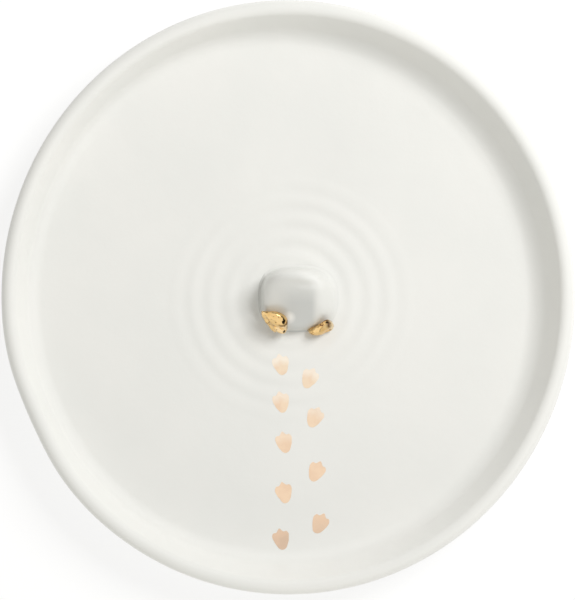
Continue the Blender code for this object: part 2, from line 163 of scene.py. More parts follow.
# Painted dark reflection in each foot's gold, a brown line on one side of a circle, with painted highlight
# beyond: the circle's middle in plan, the way to that side, the line's half width, and how pale the gold is
# beyond it
PAINTED_REFLECTIONS = {
    "left_foot": dict(middle=(-0.0019, -0.0066), side=(0.75, -0.66), half=0.00040, highlight_share=0.3),
    "right_foot": dict(middle=(0.0101, -0.0083), side=(0.60, 0.80), half=0.00110, highlight_share=0.7),
}
PAINTED_REFLECTION_RADIUS = 0.0019

# Webbed prints
PRINT_LENGTH = 0.0064
PRINT_HEEL_RADIUS = 0.0009
PRINT_FAN = math.radians(27.5)
PRINT_SIDE_SHARE = 0.76
PRINT_NOTCH_SHARE = 0.12
# Place of the side toes, and how far and how suddenly the fan's corners are cut back beyond them
PRINT_TOE_SHARE = 0.88
PRINT_CORNER_SHARE = 0.08
PRINT_CORNER_POWER = 8
PRINT_FILM = 0.00003
PRINT_LIFT = 0.00001
# Waver of the hand-laid edge, and its cells along a print
PRINT_WOBBLE = 0.00010
PRINT_WOBBLE_CELLS = 5
# Without a seed, the waver differs from run to run
PRINT_WOBBLE_SEED = 1
PRINT_SHARP = math.radians(30)
LEFT_TURN = math.radians(12)
RIGHT_TURN = math.radians(-24)
# Each heel's place: share of the way from the rump to the floor's edge, and share of a print's length across
LEFT_HEEL_SHARES = (
    (0.203, -0.23),
    (0.375, -0.22),
    (0.560, -0.08),
    (0.791, -0.09),
    (1.005, -0.22),
)
RIGHT_HEEL_SHARES = (
    (0.262, 0.80),
    (0.442, 1.03),
    (0.690, 1.11),
    (0.929, 1.27),
)

# Fineness of the meshes
DISH_SEGMENTS = 288
MIDDLE_STEPS = 4
RIPPLE_STEPS = 14
FLOOR_STEPS = 15
COVE_STEPS = 16
LIP_STEPS = 28
EDGE_STEPS = 5
RUMP_SEGMENTS = 160
RUMP_STEPS = 40
RUMP_SHOULDER = math.radians(75)
HALVINGS = 40
FOOT_POINTS = 56
BASE_STEPS = 10
BEND_STEPS = 18
FOOT_STEPS = 32
PAD_SEGMENTS = 40
PAD_STEPS = 20
PRINT_ROWS = 36
PRINT_COLUMNS = 32
PRINT_ROW_POWER = 1.3

# Tones of the surfaces: a pair is the two tones that slow clouds run between
GLAZE_TONES = ((0.845, 0.848, 0.825), (0.865, 0.864, 0.840))
# Greyer copy of the dish's glaze for the figure: painted shade over the whole figure
FIGURE_SHADED_TONES = ((0.795, 0.798, 0.773), (0.815, 0.816, 0.793))
# Painted shade on the figure's near slope
SLOPE_SHADE_TONE = (0.672, 0.682, 0.670)
# Painted shade on the left flank
FLANK_SHADE_TONE = (0.660, 0.665, 0.640)
# Painted highlight beside the left foot
WHITE_HIGHLIGHT_TONE = (0.98, 0.98, 0.96)
BISQUE_TONES = ((0.66, 0.62, 0.55), (0.80, 0.77, 0.70))
GOLD_TONES = ((0.82, 0.53, 0.21), (0.92, 0.66, 0.32))
# Painted highlight in the feet's gold
GOLD_HIGHLIGHT_TONE = (1.0, 0.86, 0.62)
# Painted dark reflection in the feet's gold
GOLD_DARK_REFLECTION_TONE = (0.10, 0.035, 0.01)
# Small dark brown specks in the gold
GOLD_SPECK_TONE = (0.22, 0.09, 0.03)
LUSTRE_START_TONE = (0.72, 0.53, 0.39)
LUSTRE_TONE = (0.93, 0.70, 0.50)
LUSTRE_END_TONE = (0.93, 0.76, 0.57)
LUSTRE_CLOUD_TONE = (0.86, 0.62, 0.44)
# Painted highlight on the toes of the prints near the figure
LUSTRE_TOE_HIGHLIGHT_TONE = (1.0, 0.92, 0.80)

# Grain of the surfaces: cells of noise to the metre, depth of each bump, and lowest and highest roughness
GLAZE_CLOUD_CELLS = 38.0
GLAZE_GLOSS_CELLS = 220.0
GLAZE_WAVE_CELLS = 130.0
GLAZE_WAVE_DEPTH = 0.00012
GLAZE_PEEL_CELLS = 900.0
GLAZE_PEEL_DEPTH = 0.00002
GLAZE_ROUGHNESS = (0.28, 0.38)
GLAZE_IOR = 1.5
BISQUE_CELLS = 2600.0
BISQUE_DEPTH = 0.00008
BISQUE_ROUGHNESS = 0.9
GOLD_CLOUD_CELLS = 420.0
GOLD_BREAK_CELLS = 900.0
GOLD_SPECK_CELLS = 1500.0
GOLD_GLOSS_CELLS = 900.0
GOLD_DIMPLE_CELLS = 700.0
GOLD_DIMPLE_DEPTH = 0.00018
GOLD_ROUGHNESS = (0.08, 0.18)
LUSTRE_METALLIC = 0.8
LUSTRE_CLOUD_CELLS = 260.0
LUSTRE_GLOSS_CELLS = 1500.0
LUSTRE_BRUSH_CELLS = 2200.0
LUSTRE_BRUSH_DEPTH = 0.00003
LUSTRE_ROUGHNESS = (0.32, 0.44)

# Bands of noise values that clouds and patches are spread over
WIDE_BAND = (0.30, 0.70)
GLAZE_CLOUD_BAND = (0.35, 0.65)
GOLD_BREAK_BAND = (0.40, 0.50)
GOLD_SPECK_BAND = (0.26, 0.30)
LUSTRE_CLOUD_BAND = (0.40, 0.60)
# Least strength of the gold's broken painted dark reflection, most strength of the lustre's clouds and of
# the painted highlight on its toes, and the shares of a print's rows where that highlight starts and is
# fullest
GOLD_BREAK_LEAST = 0.75
LUSTRE_CLOUD_MOST = 0.55
LUSTRE_TOE_HIGHLIGHT_MOST = 0.8
LUSTRE_TOE_HIGHLIGHT_BAND = (0.55, 0.85)
# Where the lustre leaves its first tone, in print lengths from the floor's edge, and where it takes on its
# last one, as shares of the way from the middle to that edge
LUSTRE_START_BAND = (0.5, 2.0)
LUSTRE_END_BAND = (2 / 3, 1 / 4)

# Values that follow from the sizes
RIGHT_ANGLE = math.pi / 2
FLOOR_HEIGHT = FOOT_RING_HEIGHT + FLOOR_THICKNESS
RIM_HEIGHT = FLOOR_HEIGHT + INSIDE_DEPTH
LIP_RADIUS = LIP_THICKNESS / 2
LIP_CENTRE = Vector((DISH_RADIUS - RIM_INSET - LIP_RADIUS, RIM_HEIGHT - LIP_RADIUS))
RIPPLE_CENTRE = Vector((RIPPLE_X, RIPPLE_Y))
RIPPLE_END = RIPPLE_RADIUS + RIPPLE_PITCH * (RIPPLE_COUNT - 0.5)
FLOOR_CENTRE = Vector((-RIM_LEAN, 0.0))
RUMP_PLACE = Vector((RUMP_X, RUMP_Y, FLOOR_HEIGHT))

# Photograph: its height in pixels, the real size of one of them at the rim, and the camera straight overhead
PHOTO_HEIGHT = 600
PIXEL = 0.000295
CAMERA_X = -0.0002
CAMERA_Y = -0.0008
CAMERA_DISTANCE = 0.9
SENSOR_MM = 36.0

# Studio: each lamp, with its angles in degrees, and the sky that lights the shade
KEY_LAMP = dict(azimuth=41, elevation=46, distance=0.9, size=0.42, power=5.3)
GLINT_LAMP = dict(azimuth=50, elevation=52, distance=0.8, size=0.50, power=2.8)
LOW_LAMP = dict(azimuth=252, elevation=8, distance=0.9, size=0.40, power=1.8)
SIDE_LAMP = dict(azimuth=310, elevation=5, distance=0.9, size=0.40, power=0.9)
WHITE = (1.0, 1.0, 1.0)
SHADE_TINT = (1.0, 0.985, 0.93)
SKY_STRENGTH = 0.49
# White table: its tone and roughness, half its width, and its glow for the object and for the camera
TABLE_TONE = 0.30
TABLE_ROUGHNESS = 0.9
TABLE_HALF = 3.0
TABLE_GLOW = 0.55
TABLE_SEEN_GLOW = 0.74
# Dark card low at the right: lowest and highest elevation, and first and last azimuth
CARD_TONE = 0.02
CARD_ROUGHNESS = 1.0
CARD_DISTANCE = 0.5
CARD_LOW = math.radians(6)
CARD_HIGH = math.radians(36)
CARD_START = math.radians(-75)
CARD_END = math.radians(120)
CARD_STEPS = 12

# Places of the mix node's sockets for colours
MIX_FIRST = 6
MIX_SECOND = 7
MIX_RESULT = 2


# Numbers and directions

def ease(share):
    """Smooth step from 0 to 1."""
    share = min(1.0, max(0.0, share))
    return share * share * (3 - 2 * share)


def spread(count, first=0.0, last=1.0):
    """Evenly spaced values from first to last, both included."""
    return [first + (last - first) * step / (count - 1) for step in range(count)]


def circle(count):
    """Evenly spaced angles round a full turn."""
    return [2 * math.pi * step / count for step in range(count)]


def direction(azimuth, elevation):
    """Unit vector towards an azimuth and elevation."""
    level = math.cos(elevation)
    return Vector((level * math.cos(azimuth), level * math.sin(azimuth), math.sin(elevation)))


# Meshes

def ring_faces(rings, segments, first=0):
    """Quads between neighbouring rings of points, where ring k starts at first + k * segments."""
    faces = []
    for ring in range(rings - 1):
        low = first + ring * segments
        high = low + segments
        for step in range(segments):
            after = (step + 1) % segments
            faces.append((low + step, low + after, high + after, high + step))
    return faces


def fan_faces(pole, first, segments):
    """Triangles between a pole and the ring of points that starts at first."""
    return [(pole, first + (step + 1) % segments, first + step) for step in range(segments)]


def skin_faces(count, segments, first=0):
    """Faces of a closed skin of count points. From first on, they are a pole, rings and another pole."""
    rings = (count - 2) // segments
    last = first + count - 1
    faces = fan_faces(first, first + 1, segments)
    faces += ring_faces(rings, segments, first=first + 1)
    return faces + fan_faces(last, last - segments, segments)


def add_piece(name, points, faces, materials, node):
    """A smooth closed mesh that stands for a node of the model."""
    mesh = bpy.data.meshes.new(name)
    mesh.from_pydata(points, [], faces)
    shell = bmesh.new()
    shell.from_mesh(mesh)
    bmesh.ops.recalc_face_normals(shell, faces=shell.faces)
    shell.to_mesh(mesh)
    shell.free()
    mesh.shade_smooth()
    for material in materials:
        mesh.materials.append(material)
    piece = bpy.data.objects.new(name, mesh)
    bpy.context.scene.collection.objects.link(piece)
    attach(piece, "root")
    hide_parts(node)
    return piece


# Dish

def ripple_rise(x, y):
    """Height of the ripples over the flat floor."""
    distance = (Vector((x, y)) - RIPPLE_CENTRE).length
    turns = (distance - RIPPLE_RADIUS) / RIPPLE_PITCH
    if turns <= -0.5 or turns >= RIPPLE_COUNT - 0.5:
        return 0.0
    crest = RIPPLE_HEIGHT * RIPPLE_DECAY_SHARE ** max(turns, 0.0)
    crest *= 1 - (1 - RIPPLE_LAST_SHARE) * ease(turns + 2 - RIPPLE_COUNT)
    return crest * (1 + math.cos(2 * math.pi * turns)) / 2


def oval(angle):
    """The hand-formed outline's radius, as a share of the mean radius."""
    return 1 - OVAL_SHARE * math.cos(2 * angle)


def dent(angle):
    """How far the rim is pressed in at its dent."""
    away = (angle - DENT_ANGLE) / DENT_SPREAD
    return DENT_DEPTH * math.exp(-away * away)


def arc(centre, radius, start, end, steps):
    """Points of a round part of the dish's profile, as (radius, height)."""
    angles = spread(steps + 1, start, end)
    return [centre + radius * Vector((math.cos(a), math.sin(a))) for a in angles]


def cove_centre():
    """Centre of the cove that joins the floor to the sloping inner wall, below the lip's own arc."""
    height = FLOOR_HEIGHT + COVE_RADIUS
    rise = LIP_CENTRE.y - height
    run = math.cos(INNER_WALL_SLOPE) * rise + LIP_RADIUS + COVE_RADIUS
    return Vector((LIP_CENTRE.x - run / math.sin(INNER_WALL_SLOPE), height))


def heel_centre():
    """Centre of the rounded corner between the tapering outer wall and the underside."""
    height = FOOT_RING_HEIGHT + HEEL_RADIUS
    rise = LIP_CENTRE.y - height
    run = math.cos(OUTER_WALL_SLOPE) * rise + HEEL_RADIUS - LIP_RADIUS
    return Vector((LIP_CENTRE.x - run / math.sin(OUTER_WALL_SLOPE), height))


# Radius of the flat floor, and its edge where the trail starts
FLOOR_RADIUS = cove_centre().x
FLOOR_EDGE_Y = FLOOR_CENTRE.y - FLOOR_RADIUS * oval(-RIGHT_ANGLE)


def wall_profile():
    """Cove, inner wall, lip, outer wall and rounded heel."""
    cove = arc(cove_centre(), COVE_RADIUS, -RIGHT_ANGLE, INNER_WALL_SLOPE - RIGHT_ANGLE, COVE_STEPS)
    lip_end = OUTER_WALL_SLOPE - RIGHT_ANGLE
    lip = arc(LIP_CENTRE, LIP_RADIUS, INNER_WALL_SLOPE + RIGHT_ANGLE, lip_end, LIP_STEPS)
    heel = arc(heel_centre(), HEEL_RADIUS, lip_end, -RIGHT_ANGLE, COVE_STEPS)
    return cove + lip + heel


def foot_ring_profile():
    """The unglazed ring that the dish stands on, from its outer side to its inner side, with round edges."""
    outer = FOOT_RING_RADIUS + FOOT_RING_WIDTH / 2
    inner = FOOT_RING_RADIUS - FOOT_RING_WIDTH / 2
    edge = FOOT_RING_EDGE
    profile = [Vector((outer + edge, FOOT_RING_HEIGHT))]
    profile += arc(Vector((outer - edge, edge)), edge, 0.0, -RIGHT_ANGLE, EDGE_STEPS)
    profile += arc(Vector((inner + edge, edge)), edge, -RIGHT_ANGLE, -2 * RIGHT_ANGLE, EDGE_STEPS)
    profile.append(Vector((inner - edge, FOOT_RING_HEIGHT)))
    return profile


def floor_point(radius, angle):
    """A point of the floor's top, in rings that are round about the ripples and oval at the floor's edge."""
    share = ease((radius - RIPPLE_END) / (FLOOR_RADIUS - RIPPLE_END))
    centre = RIPPLE_CENTRE.lerp(FLOOR_CENTRE, share)
    reach = radius * (1 + (oval(angle) - 1) * share)
    x = centre.x + reach * math.cos(angle)
    y = centre.y + reach * math.sin(angle)
    return (x, y, FLOOR_HEIGHT + ripple_rise(x, y))


def shell_point(radius, height, angle):
    """A point of the wall or the underside. The wall leans from the floor's middle to the rim's, and its
    dent grows towards the rim."""
    rise = ease((height - FLOOR_HEIGHT) / (LIP_CENTRE.y - FLOOR_HEIGHT))
    centre = FLOOR_CENTRE * (1 - rise)
    reach = radius * oval(angle) - dent(angle) * rise
    return (centre.x + reach * math.cos(angle), centre.y + reach * math.sin(angle), height)


def build_dish(glaze, bisque):
    """One closed skin, from the middle of the floor over the lip to the middle of the underside."""
    angles = circle(DISH_SEGMENTS)
    start = RIPPLE_RADIUS - RIPPLE_PITCH / 2
    floor_radii = spread(MIDDLE_STEPS + 1, 0.0, start)[1:-1]
    floor_radii += spread(RIPPLE_COUNT * RIPPLE_STEPS + 1, start, RIPPLE_END)
    floor_radii += spread(FLOOR_STEPS + 1, RIPPLE_END, FLOOR_RADIUS)[1:-1]
    points = [(RIPPLE_X, RIPPLE_Y, FLOOR_HEIGHT)]
    for radius in floor_radii:
        points += [floor_point(radius, angle) for angle in angles]
    for radius, height in wall_profile() + foot_ring_profile():
        points += [shell_point(radius, height, angle) for angle in angles]
    points.append((FLOOR_CENTRE.x, FLOOR_CENTRE.y, FOOT_RING_HEIGHT))
    faces = skin_faces(len(points), DISH_SEGMENTS)
    piece = add_piece("glazed_dish", points, faces, [glaze, bisque], "dish")
    for face in piece.data.polygons:
        if face.center.z < FOOT_RING_HEIGHT / 2:
            face.material_index = 1


# Duck's rump

def rump_reach(angle):
    """Plan radius of the rump, a rounded square."""
    across = abs(math.cos(angle)) / (RUMP_WIDTH / 2)
    along = abs(math.sin(angle)) / (RUMP_DEPTH / 2)
    return (across**RUMP_SQUARENESS + along**RUMP_SQUARENESS) ** (-1 / RUMP_SQUARENESS)


def rump_side(angle):
    """How the side turns over at the top, and how far it leans in there, as a share: tight and steep on the
    left, gentle on the right."""
    right = (1 + math.cos(angle)) / 2
    power = LEFT_EDGE_POWER + (RIGHT_EDGE_POWER - LEFT_EDGE_POWER) * right
    slant = max(0.0, math.cos(angle)) ** DRAFT_POWER
    return power, LEFT_DRAFT_SHARE + (RIGHT_DRAFT_SHARE - LEFT_DRAFT_SHARE) * slant


def rump_lift(polar):
    """Height of a point of the skin, as a share of the crown's height there: 1 at the top, 0 at the base."""
    return max(0.0, math.cos(polar)) ** CROWN_POWER


def rump_share(polar, angle):
    """Plan radius of a point of the skin, as a share of the radius at the rump's base."""
    power, draft = rump_side(angle)
    return (1 - draft * rump_lift(polar)) * math.sin(polar) ** power


def rump_crown(x, y):
    """Height that the rump's top would have with no rounding at its sides: low at the belly, rising to the
    tail at the back, with a crease where the tail starts."""
    across = x / (RUMP_WIDTH / 2)
    along = (1 + y / (RUMP_DEPTH / 2)) / 2
    turned = along + TAIL_TURN_SHARE * across / 2
    climb = (1 - TAIL_STEADY_SHARE) * ease(turned) + TAIL_STEADY_SHARE * turned
    height = RUMP_BELLY_HEIGHT + (RUMP_TAIL_HEIGHT - RUMP_BELLY_HEIGHT) * climb
    height *= 1 - TAIL_TAPER_SHARE * along * abs(across - TAIL_TURN_SHARE) ** TAIL_TAPER_POWER
    crease_x = (x - CREASE_X_SHARE * RUMP_WIDTH / 2) / CREASE_LENGTH
    crease_y = (y - CREASE_Y_SHARE * RUMP_DEPTH / 2) / CREASE_WIDTH
    return height - CREASE_DEPTH * math.exp(-crease_x * crease_x - crease_y * crease_y)


def rump_rise(x, y):
    """Height of the rump's surface over the floor, at a place in the rump's frame."""
    angle = math.atan2(y, x)
    share = math.hypot(x, y) / rump_reach(angle)
    low, high = 0.0, RIGHT_ANGLE
    for _ in range(HALVINGS):
        middle = (low + high) / 2
        if rump_share(middle, angle) < share:
            low = middle
        else:
            high = middle
    return rump_crown(x, y) * rump_lift(low)


def rump_fillet(angle):
    """Radius of the round joint with the floor."""
    share = ease(math.cos(angle - RUMP_FAR_ANGLE) + RUMP_FAR_REACH)
    return RUMP_FILLET + (RUMP_FAR_FILLET - RUMP_FILLET) * share


def rump_point(polar, angle):
    """A point of the rump's skin, in its own frame. It flares out to the floor where it was luted on."""
    reach = rump_reach(angle) * rump_share(polar, angle)
    rise = rump_lift(polar)
    crown = rump_crown(reach * math.cos(angle), reach * math.sin(angle))
    fillet = rump_fillet(angle)
    down = max(0.0, 1 - crown * rise / fillet)
    reach += fillet * (1 - math.sqrt(1 - down * down))
    x = reach * math.cos(angle)
    y = reach * math.sin(angle)
    seat = ripple_rise(RUMP_X + x, RUMP_Y + y)
    return Vector((x, y, seat + (crown - seat) * rise))


def build_rump(glaze):
    """One closed skin in rings, closest together where it meets the floor, with its base sunk a little."""
    angles = circle(RUMP_SEGMENTS)
    polars = spread(RUMP_STEPS + 1, 0.0, RUMP_SHOULDER)[1:]
    for share in spread(RUMP_STEPS + 1, 1.0, 0.0)[1:]:
        rise = rump_lift(RUMP_SHOULDER) * share * share
        polars.append(math.acos(rise ** (1 / CROWN_POWER)))
    points = [rump_point(0.0, 0.0)]
    for polar in polars:
        points += [rump_point(polar, angle) for angle in angles]
    points += [point - Vector((0.0, 0.0, RUMP_SUNK)) for point in points[-RUMP_SEGMENTS:]]
    points.append(Vector((0.0, 0.0, -RUMP_SUNK)))
    points = [RUMP_PLACE + point for point in points]
    faces = skin_faces(len(points), RUMP_SEGMENTS)
    add_piece("glazed_rump", points, faces, [glaze], "duck_rump")


# Webbed feet

def toe_share(across):
    """1 on the line of each of the three toes, and 0 midway between them."""
    return math.cos(math.pi * across / TOE_PLACE_SHARE) ** 2


def toe_reach(across, near_toe, far_toe):
    """Length of the webbed part at a place across it, as a share: the webs are drawn in between the toes."""
    notch = TOE_NOTCH_SHARE * (1 - toe_share(across))
    short = near_toe if across > 0 else far_toe
    return (1 - notch) * (1 - short * abs(across) ** SIDE_TOE_POWER)


def foot_directions(side, splay, rise, roll):
    """Forward and sideways directions of the webbed part. Its near side is rolled down."""
    up = Vector((0.0, 0.0, 1.0))
    ahead = Vector((side * math.cos(splay), math.sin(splay), 0.0)) * math.cos(rise) + up * math.sin(rise)
    near = ahead.cross(up).normalized() * side
    lift = ahead.cross(near) * -side
    return ahead, near * math.cos(roll) - lift * math.sin(roll)


def foot_stations(foot, seat, leg, ahead):
    """Sections from the leg's base round the heel to the toes. Each is its centre, forward direction, half
    widths on the near and far sides, half thickness with no ridges, and share of the web."""
    bend = leg.angle(ahead)
    inward = (ahead - leg * math.cos(bend)).normalized()
    arm = BEND_RADIUS * math.tan(bend / 2)
    before = seat + leg * (foot["leg_length"] - arm)
    after = before + (leg + ahead) * arm
    stations = []
    for polar in spread(BASE_STEPS + 1, -RIGHT_ANGLE, 0.0)[1:]:
        girth = LEG_BASE_RADIUS * math.cos(polar)
        stations.append((seat + leg * LEG_BASE_RADIUS * math.sin(polar), leg, girth, girth, girth, 0.0))
    for t in spread(BEND_STEPS + 1)[:-1]:
        round_way, straight_way = 1 - math.cos(bend * t), math.sin(bend * t)
        middle = before + (inward * round_way + leg * straight_way) * BEND_RADIUS
        forward = leg * math.cos(bend * t) + inward * straight_way
        swell = LEG_RADIUS + (foot["heel"] - LEG_RADIUS) * math.sin(math.pi * t)
        halves = [swell + (root - LEG_RADIUS) * ease(t) for root in foot["roots"]]
        stations.append((middle, forward, *halves, swell, 0.0))
    for u in spread(FOOT_STEPS + 1):
        halves = []
        for root, tip in zip(foot["roots"], foot["tips"]):
            halves.append((root + (tip - root) * u) * (1 - CORNER_CUT_SHARE * u**CORNER_POWER))
        stations.append((after, ahead, *halves, LEG_RADIUS, u))
    return stations, foot["foot_length"] - arm


def add_pad(points, faces, middle):
    """A rounded pad, added to a foot's mesh."""
    up = Vector((0.0, 0.0, 1.0))
    spots = [-up]
    for polar in spread(PAD_STEPS + 1, -RIGHT_ANGLE, RIGHT_ANGLE)[1:-1]:
        spots += [direction(angle, polar) for angle in circle(PAD_SEGMENTS)]
    spots.append(up)
    faces += skin_faces(len(spots), PAD_SEGMENTS, first=len(points))
    spin = Matrix.Rotation(PAD_TURN, 3, "Z") @ Matrix.Diagonal(PAD_SIZES)
    points += [middle + spin @ spot for spot in spots]


def foot_section(foot, station, ahead, wide, toe_length):
    """Points round one section: a round leg that flattens into a web with a ridge along each toe."""
    middle, forward, near_half, far_half, plain, u = station
    sideways = ahead.rotation_difference(forward) @ wide
    normal = forward.cross(sideways)
    points = []
    for turn in circle(FOOT_POINTS):
        across = math.cos(turn)
        ridged = WEB_THICKNESS + (TOE_THICKNESS - WEB_THICKNESS) * toe_share(across)
        thick = plain + (ridged / 2 - plain) * ease(u / FLATTEN_SHARE)
        thick *= 1 - (1 - TOE_TIP_SHARE) * u**TOE_TIP_POWER
        lift = math.copysign(abs(math.sin(turn)) ** FOOT_ROUND_POWER, math.sin(turn))
        reach = toe_length * u * (1 + (toe_reach(across, *foot["short"]) - 1) * u)
        half = near_half if across > 0 else far_half
        points.append(middle + forward * reach + sideways * half * across + normal * thick * lift)
    return points


def tip_faces(last):
    """Faces that close the web at its tips, in the section whose points start at last."""
    faces = []
    for step in range(FOOT_POINTS // 2):
        near, far = last + step, last + step + 1
        near_below = last + (FOOT_POINTS - step) % FOOT_POINTS
        far_below = last + FOOT_POINTS - step - 1
        faces.append(tuple(dict.fromkeys((near, far, far_below, near_below))))
    return faces


def build_foot(name, foot):
    """A leg that rises from the rump, bends at a swollen heel and opens into a webbed foot, as one loft of
    closed sections."""
    side = foot["side"]
    turns = [math.radians(foot[turn]) for turn in ("lean", "back", "splay", "rise", "roll")]
    lean, back, splay, rise, roll = turns
    x = foot["seat"][0] * RUMP_WIDTH / 2
    y = foot["seat"][1] * RUMP_DEPTH / 2
    seat = Vector((x, y, rump_rise(x, y)))
    leg = Vector((side * math.sin(lean), math.sin(back), 0.0))
    leg.z = math.sqrt(1 - leg.length_squared)
    ahead, wide = foot_directions(side, splay, rise, roll)
    stations, toe_length = foot_stations(foot, seat, leg, ahead)
    points = []
    for station in stations:
        points += foot_section(foot, station, ahead, wide, toe_length)
    faces = ring_faces(len(stations), FOOT_POINTS)
    faces.append(tuple(range(FOOT_POINTS)))
    faces += tip_faces((len(stations) - 1) * FOOT_POINTS)
    if name == "left_foot":
        add_pad(points, faces, seat + PAD_PLACE)
    points = [RUMP_PLACE + point for point in points]
    return add_piece("gold_" + name, points, faces, [make_gold(name)], name)


# Webbed prints

def print_edge(across):
    """Distance from heel to toe edge at a place across the fan, -1 to 1: blunt toes with shallow webs."""
    side = 1 - (1 - PRINT_SIDE_SHARE) * across * across
    web = PRINT_NOTCH_SHARE * math.sin(math.pi * across / PRINT_TOE_SHARE) ** 2
    corner = PRINT_CORNER_SHARE * abs(across) ** PRINT_CORNER_POWER
    return PRINT_LENGTH * side * (1 - web) * (1 - corner)


def print_half_width(length):
    """Half width of the print at a distance from its heel: a round heel that opens as a fan."""
    share = length / PRINT_LENGTH
    heel = 2 * PRINT_HEEL_RADIUS * length * (1 - share) ** 3
    toe_half = PRINT_LENGTH * PRINT_SIDE_SHARE * math.tan(PRINT_FAN)
    fan = toe_half * math.sin(share * RIGHT_ANGLE)
    return math.sqrt(heel + fan * fan)


def print_spots(heel, turn):
    """Plan places of a print's grid: rows from heel to toes, columns across, with a hand-laid edge."""
    spin = Matrix.Rotation(turn, 2)
    spots = []
    for row in range(PRINT_ROWS + 1):
        share = ((row + 0.5) / (PRINT_ROWS + 0.5)) ** PRINT_ROW_POWER
        for across in spread(PRINT_COLUMNS + 1, -1.0, 1.0):
            place = Vector((print_half_width(PRINT_LENGTH * share) * across, print_edge(across) * share))
            spot = heel + spin @ place
            wobble = noise.noise_vector(Vector((spot.x, spot.y, 0.0)) / PRINT_LENGTH * PRINT_WOBBLE_CELLS)
            spots.append(spot + Vector((wobble.x, wobble.y)) * PRINT_WOBBLE)
    return spots


def print_faces(count):
    """Faces of a film of two sheets of count points each: its underside, its top and its border."""
    width = PRINT_COLUMNS + 1
    sheet = []
    for row in range(PRINT_ROWS):
        for column in range(PRINT_COLUMNS):
            corner = row * width + column
            sheet.append((corner, corner + 1, corner + 1 + width, corner + width))
    faces = sheet + [tuple(count + corner for corner in face) for face in sheet]
    border = list(range(width))
    border += [width * (row + 1) - 1 for row in range(1, PRINT_ROWS + 1)]
    border += [PRINT_ROWS * width + column for column in range(PRINT_COLUMNS - 1, -1, -1)]
    border += [row * width for row in range(PRINT_ROWS - 1, 0, -1)]
    for here, there in zip(border, border[1:] + border[:1]):
        faces.append((here, there, there + count, here + count))
    return faces


def build_print(name, heel_shares, turn, lustre):
    """A film of lustre that follows the floor and its ripples. Each point knows how far it is towards the
    toes, for the painted highlight on the lustre's toes."""
    along, across_share = heel_shares
    rump_front = RUMP_Y - RUMP_DEPTH / 2
    heel = Vector((across_share * PRINT_LENGTH, rump_front + (FLOOR_EDGE_Y - rump_front) * along))
    spots = print_spots(heel, turn)
    low, high = [], []
    for spot in spots:
        floor = FLOOR_HEIGHT + ripple_rise(spot.x, spot.y) + PRINT_LIFT
        low.append((spot.x, spot.y, floor))
        high.append((spot.x, spot.y, floor + PRINT_FILM))
    count = len(spots)
    piece = add_piece("lustre_" + name, low + high, print_faces(count), [lustre], name)
    piece.data.set_sharp_from_angle(angle=PRINT_SHARP)
    toeward = piece.data.attributes.new("toeward", "FLOAT", "POINT")
    shares = [number // (PRINT_COLUMNS + 1) / PRINT_ROWS for number in range(count)]
    toeward.data.foreach_set("value", shares + shares)


# Materials

def new_material(name):
    """A node material, its tree and its shader."""
    material = bpy.data.materials.new(name)
    material.use_nodes = True
    tree = material.node_tree
    return material, tree, tree.nodes["Principled BSDF"]


def add_place(tree):
    """A surface point's own place, in metres."""
    return tree.nodes.new("ShaderNodeTexCoord").outputs["Object"]


def add_axes(tree):
    """A surface point's place across and along the dish."""
    axes = tree.nodes.new("ShaderNodeSeparateXYZ")
    tree.links.new(add_place(tree), axes.inputs["Vector"])
    return axes.outputs["X"], axes.outputs["Y"]


def add_plan(tree):
    """A surface point's place with its height left out."""
    return add_vector(tree, "MULTIPLY", add_place(tree), (1.0, 1.0, 0.0))


def add_noise(tree, cells, detail=2.0):
    """Noise with so many cells to the metre."""
    texture = tree.nodes.new("ShaderNodeTexNoise")
    texture.inputs["Scale"].default_value = cells
    texture.inputs["Detail"].default_value = detail
    tree.links.new(add_place(tree), texture.inputs["Vector"])
    return texture.outputs["Fac"]


def add_range(tree, value, low, high, out_low=0.0, out_high=1.0):
    """A value between low and high, spread over another range and held at its ends."""
    ramp = tree.nodes.new("ShaderNodeMapRange")
    for name, number in (("From Min", low), ("From Max", high), ("To Min", out_low), ("To Max", out_high)):
        ramp.inputs[name].default_value = number
    tree.links.new(value, ramp.inputs["Value"])
    return ramp.outputs["Result"]


def add_clouds(tree, cells, band, out_low=0.0, out_high=1.0, detail=2.0):
    """Noise as clouds or patches: one value below a band of the noise, and another above it."""
    return add_range(tree, add_noise(tree, cells, detail), *band, out_low, out_high)


def add_vector(tree, operation, vector, constant):
    """Vector maths with a constant. Gives a number for a distance or a dot product."""
    node = tree.nodes.new("ShaderNodeVectorMath")
    node.operation = operation
    tree.links.new(vector, node.inputs[0])
    node.inputs[1].default_value = constant
    return node.outputs["Vector" if operation == "MULTIPLY" else "Value"]


def add_product(tree, first, second):
    """Product of two nodes' outputs."""
    product = tree.nodes.new("ShaderNodeMath")
    product.operation = "MULTIPLY"
    tree.links.new(first, product.inputs[0])
    tree.links.new(second, product.inputs[1])
    return product.outputs["Value"]


def add_mix(tree, factor, first, second):
    """Colour mix. A colour is a triple, or another node's output."""
    mix = tree.nodes.new("ShaderNodeMix")
    mix.data_type = "RGBA"
    tree.links.new(factor, mix.inputs["Factor"])
    for socket, colour in ((mix.inputs[MIX_FIRST], first), (mix.inputs[MIX_SECOND], second)):
        if isinstance(colour, tuple):
            socket.default_value = (*colour, 1.0)
        else:
            tree.links.new(colour, socket)
    return mix.outputs[MIX_RESULT]


def add_bump(tree, height, depth, under=None):
    """Bump of a depth in metres, over another bump where one is given."""
    bump = tree.nodes.new("ShaderNodeBump")
    bump.inputs["Distance"].default_value = depth
    tree.links.new(height, bump.inputs["Height"])
    if under is not None:
        tree.links.new(under, bump.inputs["Normal"])
    return bump.outputs["Normal"]


